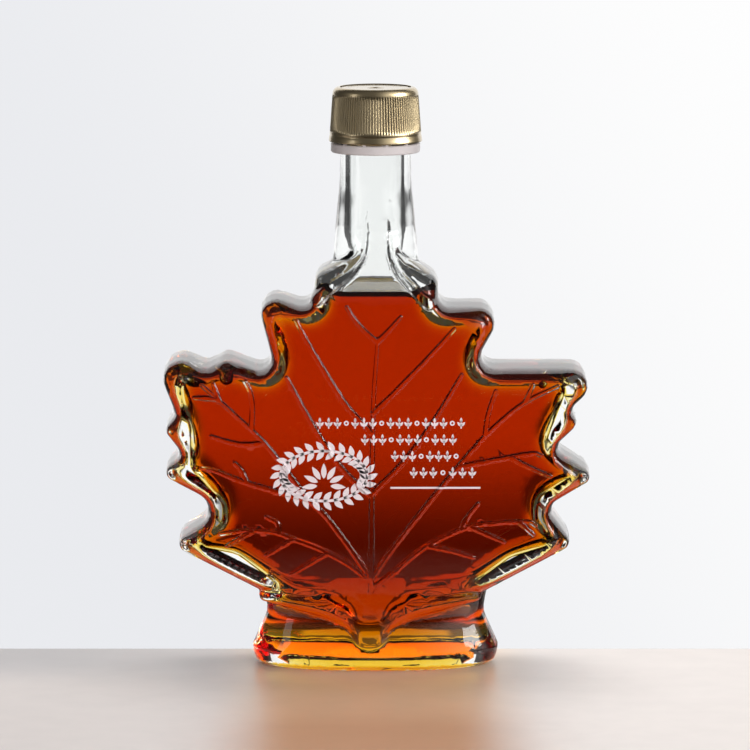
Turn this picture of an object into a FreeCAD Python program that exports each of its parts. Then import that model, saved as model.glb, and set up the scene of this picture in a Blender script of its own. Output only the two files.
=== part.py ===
import FreeCAD, Part
import math
import os

# Maple-leaf glass bottle of syrup with a ribbed gold screw cap and a tamper band.
# All sizes in millimetres. The bottle stands on z = 0, its axis is Z, and the front of
# the leaf looks along -Y.

os.makedirs("parts", exist_ok=True)

# ---------------------------------------------------------------- driving dimensions
# Each group below can be changed without touching the others.

# leaf-shaped body: a thick flat slab with rounded front and back edges
leaf_half_depth = 19.0
leaf_rim_half_width = 10.5
leaf_edge_inset = 3.2
leaf_least_corner = 0.5
stem_half_depth = 19.6
stem_rim_half_width = 14.6
stem_edge_inset = 2.6

# shoulders, where the slab draws in to meet the round neck
shoulder_start_height = 112.0
shoulder_end_height = 132.0
shoulder_end_half_depth = 11.8
shoulder_fade_height = 141.0
shoulder_fade_half_depth = 10.6
shoulder_bend_share = 0.3
shoulder_lift_share = 0.45

# round neck
neck_foot_height = 99.0
neck_foot_radius = 10.5
neck_root_radius = 12.9
neck_root_height = 121.0
neck_mid_radius = 12.1
neck_mid_height = 132.0
neck_top_radius = 10.7
neck_top_height = 150.0

# finish: the wider ring of glass under the cap, up to the lip
lip_height = 173.2
lip_chamfer = 0.6
finish_height = 16.2
finish_step_height = 1.2
finish_radius = 11.9

# oval foot: half widths and half depths at its contact edge, widest line, waist and top
foot_half_width = 37.3
foot_half_depth = 19.4
foot_widest_height = 5.0
foot_contact_inset = 3.4
foot_contact_depth_inset = 2.8
foot_heel_inset = 0.9
foot_heel_height = 1.5
foot_slope_height = 10.6
foot_slope_half_width = 35.1
foot_slope_half_depth = 17.6
waist_half_width = 32.9
waist_half_depth = 17.0
waist_height = 16.5
above_waist_flare = 0.6
above_waist_height = 21.0
foot_top_flare = 1.0
foot_top_height = 30.0
foot_oval_power = 2.4

# hollow: glass left in front, at the foot and under the syrup, and the bore of the neck
leaf_wall_front = 3.2
hollow_rim_half_width = 6.3
hollow_edge_inset = 3.6
foot_wall = 4.2
foot_heel_wall = 6.3
foot_floor_thickness = 2.2
foot_floor_half_width = 24.0
foot_floor_half_depth = 2.0
foot_keel_height = 6.0
foot_keel_half_depth = 4.4
foot_keel_slope_half_depth = 8.0
foot_keel_top_height = 14.5
bore_radius = 7.9
bore_flare_radius = 10.5
bore_flare_low = 119.0
bore_flare_height = 127.0

# leaf veins, raised on the front
vein_height = 0.65
vein_width = 1.6
vein_taper = 0.35
vein_root = 0.6

# syrup
syrup_level = 114.4

# screw cap, which turns on the finish with a clearance and covers the lip
cap_height = 16.2
cap_top_thickness = 2.1
cap_bore_clearance = 0.5
cap_wall = 1.7
cap_draft = 1.1
cap_face_inset = 1.95
cap_shoulder_drop = 2.0
cap_smooth_band_height = 2.9
cap_rib_count = 100
cap_rib_depth = 0.32
cap_rib_seat = 0.9
cap_rib_run_out = 0.35
cap_face_rim_width = 0.5
cap_face_rim_height = 0.18
cap_gate_radius = 0.45

# tamper band, which hangs under the cap on thin bridges
band_clearance = 0.45
band_wall = 1.1
band_height = 2.75
band_gap = 0.45
band_edge_round = 0.3
band_bridge_count = 12
band_bridge_width = 0.9
band_bridge_depth = 0.7
band_bridge_root = 0.4

# sizes that follow from the ones above
finish_start_height = lip_height - finish_height
cap_top_height = lip_height + cap_top_thickness
cap_bottom_height = cap_top_height - cap_height
cap_bore_radius = finish_radius + cap_bore_clearance
cap_bottom_radius = cap_bore_radius + cap_wall
cap_shoulder_radius = cap_bottom_radius - cap_draft
cap_face_radius = cap_shoulder_radius - cap_face_inset
band_inner_radius = finish_radius + band_clearance
band_outer_radius = band_inner_radius + band_wall

# Corner points of the leaf outline, clockwise from the top of the middle lobe:
# across, up, corner radius. The top two corners lie inside the neck.
leaf_corners = [
    (8.2, 126.0, 8.0),
    (19.0, 118.6, 4.0),
    (19.1, 110.1, 4.0),
    (40.0, 110.5, 5.2),
    (29.2, 91.6, 4.0),
    (72.6, 91.6, 5.2),
    (59.0, 79.4, 2.5),
    (61.5, 74.7, 3.0),
    (53.8, 67.4, 2.5),
    (67.4, 58.7, 2.8),
    (51.8, 49.5, 3.2),
    (60.3, 37.9, 3.1),
    (33.0, 23.4, 8.0),
    (-2.0, 18.6, 6.0),
    (-33.4, 23.0, 8.0),
    (-62.4, 37.9, 3.0),
    (-45.8, 49.0, 5.0),
    (-65.8, 59.6, 3.0),
    (-58.4, 65.6, 2.5),
    (-64.0, 72.8, 2.7),
    (-60.4, 77.8, 3.0),
    (-69.6, 100.8, 5.9),
    (-50.8, 91.3, 4.0),
    (-45.1, 94.9, 4.0),
    (-29.9, 89.1, 3.5),
    (-37.0, 115.6, 5.0),
    (-18.9, 109.5, 3.5),
    (-18.4, 119.8, 4.4),
    (-5.5, 126.5, 8.0),
    (1.3, 150.0, 0.8),
]

# Corner points of the stem, which runs down over the foot and flares into the leaf.
stem_corners = [
    (26.0, 30.0, 3.0),
    (34.0, 22.0, 2.0),
    (11.5, 16.0, 12.0),
    (4.6, 12.6, 6.0),
    (2.6, 5.5, 3.6),
    (-6.2, 5.5, 3.6),
    (-8.0, 12.6, 6.0),
    (-15.0, 16.0, 12.0),
    (-37.0, 22.0, 2.0),
    (-29.0, 30.0, 3.0),
]

# Corner points of the hollow inside the leaf, simpler and rounder than the outside.
hollow_corners = [
    (7.0, 132.0, 3.0),
    (8.0, 124.0, 6.0),
    (16.0, 117.0, 3.0),
    (15.4, 105.6, 5.5),
    (34.2, 106.4, 4.0),
    (26.6, 87.6, 5.0),
    (58.6, 87.8, 3.4),
    (56.6, 81.6, 5.0),
    (51.2, 67.6, 4.5),
    (60.6, 58.8, 2.4),
    (49.6, 51.4, 4.0),
    (49.0, 45.4, 4.0),
    (54.2, 37.4, 2.4),
    (41.0, 33.2, 6.0),
    (31.2, 26.0, 4.0),
    (27.0, 20.0, 4.0),
    (-27.0, 20.0, 4.0),
    (-31.2, 26.0, 4.0),
    (-42.0, 34.2, 6.0),
    (-57.0, 37.2, 2.4),
    (-46.4, 43.6, 4.0),
    (-46.2, 49.6, 5.0),
    (-56.0, 60.4, 4.0),
    (-56.0, 71.0, 8.0),
    (-61.0, 92.0, 4.6),
    (-50.5, 88.0, 4.0),
    (-45.0, 90.8, 4.0),
    (-27.0, 84.6, 5.0),
    (-32.4, 109.4, 4.0),
    (-15.4, 105.0, 5.0),
    (-15.7, 117.2, 3.0),
    (-8.0, 124.0, 6.0),
    (-7.0, 132.0, 3.0),
]

# Veins on the front, each a chain of (across, up) points.
vein_lines = [
    [(-1.3, 25.0), (-1.1, 55.0), (-0.5, 84.0), (0.7, 101.5)],
    [(0.6, 100.5), (-3.0, 103.5), (-6.4, 107.4), (-8.6, 111.0)],
    [(0.6, 100.5), (4.0, 104.0), (7.5, 108.0)],
    [(-1.3, 73.0), (-9.7, 82.7), (-20.6, 100.8), (-23.6, 106.8)],
    [(-1.3, 54.0), (-9.6, 61.7), (-18.0, 74.0), (-26.6, 89.8)],
    [
        (-1.5, 29.0),
        (-6.9, 37.0),
        (-14.7, 47.5),
        (-20.2, 53.0),
        (-27.8, 63.1),
        (-34.2, 70.9),
        (-44.1, 80.3),
        (-52.0, 87.4),
    ],
    [(-46.9, 82.7), (-48.6, 87.8)],
    [(-37.2, 74.4), (-36.9, 81.0), (-37.6, 85.8), (-39.0, 88.6)],
    [(-34.4, 69.8), (-39.7, 69.5), (-44.5, 70.5), (-49.2, 72.0)],
    [(-47.6, 83.4), (-54.4, 83.7)],
    [(-20.4, 53.0), (-32.2, 56.0), (-41.9, 59.1), (-48.0, 61.6), (-52.0, 62.3)],
    [(-38.6, 58.0), (-40.3, 61.8), (-42.2, 63.9)],
    [
        (-1.5, 28.0),
        (-8.4, 33.4),
        (-17.6, 38.2),
        (-24.4, 40.7),
        (-30.0, 42.8),
        (-38.0, 43.5),
        (-46.6, 42.4),
    ],
    [(-29.0, 42.6), (-29.6, 45.7), (-32.8, 47.6)],
    [(-24.8, 40.8), (-32.8, 35.9)],
    [(-14.6, 36.6), (-25.4, 30.0)],
    [(-37.2, 43.2), (-44.6, 38.8)],
    [
        (-1.2, 28.5),
        (3.9, 36.2),
        (10.4, 44.8),
        (20.4, 57.4),
        (29.4, 68.2),
        (36.0, 75.2),
        (44.6, 82.2),
        (54.6, 87.2),
    ],
    [(33.0, 72.6), (33.8, 78.7), (36.0, 85.8)],
    [(45.0, 82.6), (47.2, 87.6)],
    [(25.4, 62.8), (35.7, 64.8), (46.6, 66.8), (49.6, 66.2)],
    [(40.8, 65.6), (44.6, 63.4), (52.4, 59.9)],
    [
        (-1.2, 25.4),
        (5.0, 30.2),
        (14.6, 38.2),
        (27.0, 44.2),
        (36.8, 45.8),
        (45.6, 46.1),
        (48.0, 45.0),
    ],
    [(25.8, 43.8), (27.4, 47.2), (30.8, 51.6)],
    [(29.0, 44.4), (38.6, 40.0)],
    [(16.2, 38.8), (24.0, 37.0), (29.4, 35.2)],
    [(43.6, 45.8), (47.4, 42.2)],
    [(-1.0, 54.6), (9.3, 65.3), (18.1, 77.7), (25.8, 90.6)],
    [(-0.6, 79.0), (5.8, 85.3), (15.9, 95.9), (23.6, 104.5)],
]

# ---------------------------------------------------------------- outline helpers


def moved_corner(before, here, after, inset):
    """Corner where the two sides meeting at `here` cross once both move inward."""
    ax = here[0] - before[0]
    az = here[1] - before[1]
    bx = after[0] - here[0]
    bz = after[1] - here[1]
    la = math.hypot(ax, az)
    lb = math.hypot(bx, bz)
    # the outline runs clockwise, so inward is to the right of each side
    pa = (here[0] + az / la * inset, here[1] - ax / la * inset)
    pb = (here[0] + bz / lb * inset, here[1] - bx / lb * inset)
    cross = ax * bz - az * bx
    t = ((pb[0] - pa[0]) * bz - (pb[1] - pa[1]) * bx) / cross
    return (pa[0] + ax * t, pa[1] + az * t), cross


def outline_wire(corners, inset, y):
    """Closed wire of straight sides and corner arcs, in the plane at depth y."""
    count = len(corners)
    moved = []
    for i in range(count):
        point, cross = moved_corner(corners[i - 1], corners[i], corners[(i + 1) % count], inset)
        radius = corners[i][2]
        if cross < 0:
            radius = max(radius - inset, leaf_least_corner)
        else:
            radius = radius + inset
        moved.append((point, radius))
    spans = []
    for i in range(count):
        (px, pz), radius = moved[i]
        qx, qz = moved[i - 1][0]
        rx, rz = moved[(i + 1) % count][0]
        back = FreeCAD.Vector(qx - px, 0, qz - pz)
        ahead = FreeCAD.Vector(rx - px, 0, rz - pz)
        half_angle = back.getAngle(ahead) / 2
        spans.append([back, ahead, half_angle, radius / math.tan(half_angle)])
    # a corner too wide for the side it shares is drawn in until both corners fit
    for i in range(count):
        here = spans[i]
        after = spans[(i + 1) % count]
        room = here[1].Length * 0.97
        if here[3] + after[3] > room:
            if here[3] > after[3]:
                here[3] = room - after[3]
            else:
                after[3] = room - here[3]
    starts = []
    middles = []
    ends = []
    for i in range(count):
        back, ahead, half_angle, reach = spans[i]
        back = FreeCAD.Vector(back).normalize()
        ahead = FreeCAD.Vector(ahead).normalize()
        radius = reach * math.tan(half_angle)
        here = FreeCAD.Vector(moved[i][0][0], y, moved[i][0][1])
        middle_way = (back + ahead).normalize()
        starts.append(here + back * reach)
        ends.append(here + ahead * reach)
        middles.append(here + middle_way * (radius / math.sin(half_angle) - radius))
    edges = []
    for i in range(count):
        edges.append(Part.Arc(starts[i], middles[i], ends[i]).toShape())
        edges.append(Part.makeLine(ends[i], starts[(i + 1) % count]))
    return Part.Wire(edges)


def rounded_slab(corners, half_depth, rim_half_width, edge_inset):
    """Slab with the given outline whose front and back edges are rounded over."""
    rise = half_depth - rim_half_width
    steps = [(0.0, 0.0), (0.5, 0.14), (0.85, 0.48), (1.0, 1.0)]
    front = []
    back = []
    for depth_part, inset_part in steps:
        depth = rim_half_width + rise * depth_part
        front.append(outline_wire(corners, edge_inset * inset_part, -depth))
        back.append(outline_wire(corners, edge_inset * inset_part, depth))
    wires = list(reversed(front)) + back
    return Part.makeLoft(wires, True, True)


def oval_wire(half_width, half_depth, z):
    """Closed smooth oval, a little squarer than an ellipse."""
    points = []
    for i in range(48):
        a = 2 * math.pi * i / 48
        c = math.cos(a)
        s = math.sin(a)
        x = half_width * math.copysign(abs(c) ** (2 / foot_oval_power), c)
        y = half_depth * math.copysign(abs(s) ** (2 / foot_oval_power), s)
        points.append(FreeCAD.Vector(x, y, z))
    curve = Part.BSplineCurve()
    curve.interpolate(points, PeriodicFlag=True)
    return Part.Wire(curve.toShape())


def turned(points):
    """Solid of revolution about Z from (radius, height) points."""
    chain = [FreeCAD.Vector(r, 0, z) for r, z in points]
    chain.append(chain[0])
    face = Part.Face(Part.makePolygon(chain))
    return face.revolve(FreeCAD.Vector(0, 0, 0), FreeCAD.Vector(0, 0, 1), 360)


def shoulder_block(inward):
    """Side profile of the slab, straight up to the shoulder and then drawing in."""
    start = leaf_half_depth - inward
    end = shoulder_end_half_depth - inward
    fade = shoulder_fade_half_depth - inward
    z0 = shoulder_start_height
    z1 = shoulder_end_height
    low = FreeCAD.Vector(0, -start, z0)
    bend = FreeCAD.Vector(0, -start, z0 + (z1 - z0) * shoulder_bend_share)
    lift = FreeCAD.Vector(0, -end, z1 - (z1 - z0) * shoulder_lift_share)
    high = FreeCAD.Vector(0, -end, z1)
    curve = Part.BezierCurve()
    curve.setPoles([low, bend, lift, high])
    edges = [curve.toShape()]
    faded = FreeCAD.Vector(0, -fade, shoulder_fade_height)
    top = FreeCAD.Vector(0, -fade, lip_height)
    edges.append(Part.makeLine(high, faded))
    edges.append(Part.makeLine(faded, top))
    edges.append(Part.makeLine(top, FreeCAD.Vector(0, 0, lip_height)))
    edges.append(Part.makeLine(FreeCAD.Vector(0, 0, lip_height), FreeCAD.Vector(0, 0, 0)))
    edges.append(Part.makeLine(FreeCAD.Vector(0, 0, 0), FreeCAD.Vector(0, -start, 0)))
    edges.append(Part.makeLine(FreeCAD.Vector(0, -start, 0), low))
    face = Part.Face(Part.Wire(edges))
    width = 2 * (max(corner[0] for corner in leaf_corners) - min(corner[0] for corner in leaf_corners))
    front = face.extrude(FreeCAD.Vector(width, 0, 0))
    front.translate(FreeCAD.Vector(-width / 2, 0, 0))
    back = front.mirror(FreeCAD.Vector(0, 0, 0), FreeCAD.Vector(0, 1, 0))
    return front.fuse(back).removeSplitter()


def vein_ridge(line):
    """Low ridge on the front face along a chain of points, narrowing to its far end."""
    count = len(line)
    left = []
    right = []
    for i in range(count):
        before = line[max(i - 1, 0)]
        after = line[min(i + 1, count - 1)]
        run = FreeCAD.Vector(after[0] - before[0], 0, after[1] - before[1]).normalize()
        half = vein_width / 2 * (1.0 - vein_taper * i / (count - 1))
        side = FreeCAD.Vector(-run.z, 0, run.x) * half
        here = FreeCAD.Vector(line[i][0], -leaf_half_depth - vein_height, line[i][1])
        left.append(here + side)
        right.append(here - side)
    ring = left + list(reversed(right)) + [left[0]]
    face = Part.Face(Part.makePolygon(ring))
    return face.extrude(FreeCAD.Vector(0, vein_height + vein_root, 0))


# ---------------------------------------------------------------- glass bottle

leaf = rounded_slab(leaf_corners, leaf_half_depth, leaf_rim_half_width, leaf_edge_inset)
stem = rounded_slab(stem_corners, stem_half_depth, stem_rim_half_width, stem_edge_inset)
outer_profile = shoulder_block(0)
leaf = leaf.common(outer_profile)

foot_rings = [
    (foot_half_width - foot_contact_inset, foot_half_depth - foot_contact_depth_inset, 0.0),
    (foot_half_width - foot_heel_inset, foot_half_depth - foot_heel_inset, foot_heel_height),
    (foot_half_width, foot_half_depth, foot_widest_height),
    (foot_slope_half_width, foot_slope_half_depth, foot_slope_height),
    (waist_half_width, waist_half_depth, waist_height),
    (waist_half_width + above_waist_flare, waist_half_depth, above_waist_height),
    (waist_half_width + foot_top_flare, waist_half_depth - foot_top_flare, foot_top_height),
]
foot = Part.makeLoft([oval_wire(w, d, z) for w, d, z in foot_rings], True, False)

neck = turned([
    (0, neck_foot_height),
    (neck_foot_radius, neck_foot_height),
    (neck_root_radius, neck_root_height),
    (neck_mid_radius, neck_mid_height),
    (neck_top_radius, neck_top_height),
    (neck_top_radius, finish_start_height),
    (finish_radius, finish_start_height + finish_step_height),
    (finish_radius, lip_height - lip_chamfer),
    (finish_radius - lip_chamfer, lip_height),
    (0, lip_height),
])

veins = [vein_ridge(line) for line in vein_lines]

body = leaf.fuse([stem, foot, neck])
body = body.fuse(veins)

# ---------------------------------------------------------------- the hollow

hollow_half_depth = leaf_half_depth - leaf_wall_front
hollow_leaf = rounded_slab(hollow_corners, hollow_half_depth, hollow_rim_half_width, hollow_edge_inset)
hollow_leaf = hollow_leaf.common(shoulder_block(leaf_wall_front))

# the foot's hollow keeps foot_wall of glass at the waist and narrows like a keel to its floor
hollow_wide_width = foot_half_width - foot_heel_wall
hollow_waist_width = waist_half_width - foot_wall
hollow_waist_depth = waist_half_depth - foot_wall
hollow_rings = [
    (foot_floor_half_width, foot_floor_half_depth, foot_floor_thickness),
    (hollow_wide_width, foot_keel_half_depth, foot_keel_height),
    (hollow_wide_width, foot_keel_slope_half_depth, foot_slope_height),
    ((hollow_wide_width + hollow_waist_width) / 2, hollow_waist_depth, foot_keel_top_height),
    (hollow_waist_width, hollow_waist_depth, waist_height),
    (hollow_waist_width, hollow_waist_depth, foot_top_height),
]
hollow_foot = Part.makeLoft([oval_wire(w, d, z) for w, d, z in hollow_rings], True, True)

bore = turned([
    (0, bore_flare_low),
    (bore_flare_radius, bore_flare_low),
    (bore_radius, bore_flare_height),
    (bore_radius, lip_height + 1),
    (0, lip_height + 1),
])
hollow = hollow_leaf.fuse([hollow_foot, bore])

bottle = body.cut(hollow)
bottle.exportStep("parts/bottle.step")

# ---------------------------------------------------------------- syrup

span = leaf.BoundBox.XLength
depth = leaf.BoundBox.YLength
below = Part.makeBox(2 * span, 2 * depth, syrup_level, FreeCAD.Vector(-span, -depth, 0))
syrup = hollow.common(below)
syrup.exportStep("parts/syrup.step")

# ---------------------------------------------------------------- screw cap


def ribbed_ring(radius, z):
    """Closed star-shaped ring: one ridge and one groove for each rib."""
    points = []
    for i in range(cap_rib_count):
        for part, r in ((0.0, radius), (0.5, radius - cap_rib_depth)):
            a = 2 * math.pi * (i + part) / cap_rib_count
            points.append(FreeCAD.Vector(r * math.cos(a), r * math.sin(a), z))
    points.append(points[0])
    return Part.makePolygon(points)


rib_low = cap_bottom_height + cap_smooth_band_height
rib_high = cap_top_height - cap_shoulder_drop + cap_rib_run_out
taper = cap_draft / (rib_high - cap_bottom_height)
low_radius = cap_bottom_radius - taper * cap_smooth_band_height
high_radius = cap_shoulder_radius

shoulder_turns = 6
cap_outline = [(0, cap_bottom_height), (cap_bottom_radius, cap_bottom_height), (low_radius, rib_low)]
cap_outline.append((low_radius - cap_rib_depth * cap_rib_seat, rib_low + cap_rib_run_out))
cap_outline.append((high_radius - cap_rib_depth * cap_rib_seat, rib_high - cap_rib_run_out))
cap_outline.append((high_radius, rib_high))
for i in range(1, shoulder_turns + 1):
    a = math.pi / 2 * i / shoulder_turns
    r = cap_face_radius + (high_radius - cap_face_radius) * math.cos(a)
    z = rib_high + (cap_top_height - rib_high) * math.sin(a)
    cap_outline.append((r, z))
cap_outline.append((cap_face_radius, cap_top_height + cap_face_rim_height))
cap_outline.append((cap_face_radius - cap_face_rim_width, cap_top_height + cap_face_rim_height))
cap_outline.append((cap_face_radius - cap_face_rim_width - 0.1, cap_top_height))
cap_outline.append((0, cap_top_height))
ribs = Part.makeLoft([ribbed_ring(low_radius, rib_low), ribbed_ring(high_radius, rib_high)], True, True)
gate = Part.makeCylinder(cap_gate_radius, cap_face_rim_height, FreeCAD.Vector(0, 0, cap_top_height))
cap_bore = turned([
    (0, cap_bottom_height - 1),
    (cap_bore_radius, cap_bottom_height - 1),
    (cap_bore_radius, lip_height - 1),
    (finish_radius - lip_chamfer, lip_height),
    (0, lip_height),
])
cap = turned(cap_outline).fuse([ribs, gate]).cut(cap_bore)
cap.exportStep("parts/cap.step")

# ---------------------------------------------------------------- tamper band

band_top = cap_bottom_height - band_gap
band_low = band_top - band_height
band = turned([
    (band_inner_radius, band_low + band_edge_round),
    (band_inner_radius + band_edge_round, band_low),
    (band_outer_radius - band_edge_round, band_low),
    (band_outer_radius, band_low + band_edge_round),
    (band_outer_radius, band_top - band_edge_round),
    (band_outer_radius - band_edge_round, band_top),
    (band_inner_radius, band_top),
])
bridges = []
for i in range(band_bridge_count):
    post = Part.makeBox(
        band_bridge_depth,
        band_bridge_width,
        band_gap + band_bridge_root,
        FreeCAD.Vector(
            band_inner_radius + (band_wall - band_bridge_depth) / 2,
            -band_bridge_width / 2,
            band_top - band_bridge_root,
        ),
    )
    post.rotate(FreeCAD.Vector(0, 0, 0), FreeCAD.Vector(0, 0, 1), 360 * (i + 0.5) / band_bridge_count)
    bridges.append(post)
band = band.fuse(bridges)
band.exportStep("parts/tamper_band.step")
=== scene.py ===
import bmesh
import bpy
import math
import numpy as np
import openvdb
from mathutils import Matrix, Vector


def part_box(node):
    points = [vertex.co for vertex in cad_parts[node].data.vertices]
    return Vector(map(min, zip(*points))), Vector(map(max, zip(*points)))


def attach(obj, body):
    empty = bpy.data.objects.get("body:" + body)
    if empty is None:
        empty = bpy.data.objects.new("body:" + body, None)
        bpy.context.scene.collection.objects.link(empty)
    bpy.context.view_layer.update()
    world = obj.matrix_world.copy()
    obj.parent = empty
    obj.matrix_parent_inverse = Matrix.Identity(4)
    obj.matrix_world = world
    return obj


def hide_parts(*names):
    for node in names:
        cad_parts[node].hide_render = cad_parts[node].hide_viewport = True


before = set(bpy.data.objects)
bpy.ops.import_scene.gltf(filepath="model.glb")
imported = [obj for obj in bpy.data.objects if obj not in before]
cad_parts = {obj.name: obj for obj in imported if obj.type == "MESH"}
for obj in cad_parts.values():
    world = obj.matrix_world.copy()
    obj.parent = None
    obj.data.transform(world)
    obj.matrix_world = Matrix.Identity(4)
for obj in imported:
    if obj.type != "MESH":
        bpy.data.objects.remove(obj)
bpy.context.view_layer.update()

# ---------------------------------------------------------------- glass bottle
# One piece of clear glass blown in a mould: a thick maple-leaf slab with soft rounded edges,
# a round neck drawn up out of its middle lobe, and an oval foot. The mould makes the outside
# crisp, with raised veins, and the blown hollow inside is softer.

# shapes are worked out in millimetres and turned to metres with their mesh
millimetre = 0.001
lip_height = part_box("bottle")[1].z / millimetre

leaf_half_depth = 19.0
leaf_rim = 10.5
leaf_edge = 3.2
glass_wall = 3.2
mould_draft = 0.025
hollow_draft = 0.15
vein_height = 0.62
front_limit = leaf_half_depth + vein_height
hollow_edge = 3.6
floor_thickness = 2.2
stem_rim = 14.0
stem_edge = 3.2
stem_half_depth = 19.05
syrup_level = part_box("syrup")[1].z / millimetre
glass_index = 1.52
syrup_index = 1.46

# corners of the leaf's edge: across, up, corner radius
leaf_corners = [
    (8.2, 126.0, 8.0), (19.0, 118.6, 4.0), (19.1, 110.1, 4.0), (40.0, 110.5, 5.2),
    (29.2, 91.6, 4.0), (72.6, 91.6, 5.2), (59.0, 79.4, 2.5), (61.5, 74.7, 3.0),
    (53.8, 67.4, 2.5), (67.4, 58.7, 2.8), (51.8, 49.5, 3.2), (60.3, 37.9, 3.1),
    (33.0, 23.4, 8.0), (-2.0, 18.6, 6.0), (-33.4, 23.0, 8.0), (-62.4, 37.9, 3.0),
    (-45.8, 49.0, 5.0), (-65.8, 59.6, 3.0), (-58.4, 65.6, 2.5), (-64.0, 72.8, 2.7),
    (-60.4, 77.8, 3.0), (-69.6, 100.8, 5.9), (-50.8, 91.3, 4.0), (-45.1, 94.9, 4.0),
    (-29.9, 89.1, 3.5), (-37.0, 115.6, 5.0), (-18.9, 109.5, 3.5), (-18.4, 119.8, 4.4),
    (-5.5, 126.5, 8.0), (1.3, 150.0, 0.8),
]
stem_corners = [
    (26.0, 30.0, 3.0), (34.0, 22.0, 2.0), (11.5, 16.0, 12.0), (4.6, 12.6, 6.0), (2.6, 5.5, 3.6),
    (-6.2, 5.5, 3.6), (-8.0, 12.6, 6.0), (-15.0, 16.0, 12.0), (-37.0, 22.0, 2.0), (-29.0, 30.0, 3.0),
]
hollow_corners = [
    (7.0, 132.0, 3.0), (8.0, 124.0, 6.0), (16.0, 117.0, 3.0), (15.4, 105.6, 5.5),
    (34.2, 106.4, 4.0), (26.6, 87.6, 5.0), (58.6, 87.8, 3.4), (56.6, 81.6, 5.0),
    (51.2, 67.6, 4.5), (60.6, 58.8, 2.4), (49.6, 51.4, 4.0), (49.0, 45.4, 4.0),
    (54.2, 37.4, 2.4), (41.0, 33.2, 6.0), (31.2, 26.0, 4.0), (27.0, 20.0, 4.0),
    (-27.0, 20.0, 4.0), (-31.2, 26.0, 4.0), (-42.0, 34.2, 6.0), (-57.0, 37.2, 2.4),
    (-46.4, 43.6, 4.0), (-46.2, 49.6, 5.0), (-56.0, 60.4, 4.0), (-56.0, 71.0, 8.0),
    (-61.0, 92.0, 4.6), (-50.5, 88.0, 4.0), (-45.0, 90.8, 4.0), (-27.0, 84.6, 5.0),
    (-32.4, 109.4, 4.0), (-15.4, 105.0, 5.0), (-15.7, 117.2, 3.0), (-8.0, 124.0, 6.0),
    (-7.0, 132.0, 3.0),
]

# how far the stem stands proud of its slab at each height
stem_heights = [0, 9, 18, 20, 25, 30]
stem_proud = [0.5, 0.5, 0.0, 0.0, -0.7, -0.7]

# outside radius of the neck and its finish, from the root inside the leaf up to the lip
neck_root = 99
neck_heights = [neck_root, 110, 121, 128, 134, 140, 145, 150, 157.0, 158.2, 172.4, 173.2]
neck_radii = [9.5, 10.8, 12.9, 12.5, 12.0, 11.5, 10.95, 10.7, 10.6, 11.9, 11.9, 11.3]
bore_heights = [112, 119, 127, 200]
bore_radii = [11.0, 10.5, 7.9, 7.9]

# oval foot outside, and the keel-shaped hollow in it that opens upward
foot_top = 30
foot_heights = [0, 1.5, 5, 10.6, 16.5, 21, foot_top]
foot_half_widths = [33.9, 36.4, 37.3, 35.1, 32.9, 33.5, 33.9]
foot_half_depths = [16.6, 18.4, 19.4, 17.6, 17.0, 17.1, 16.0]
keel_width_heights = [floor_thickness, 3.6, 6.0, 10.6, 16.5, 21, foot_top]
keel_half_widths = [24.0, 28.0, 31.0, 30.8, 28.7, 28.7, 28.7]
keel_depth_heights = [floor_thickness, 5.0, 8.0, 11.0, 14.5, 21, foot_top]
keel_half_depths = [2.0, 4.0, 5.2, 8.4, 12.8, 12.8, 12.8]

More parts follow.
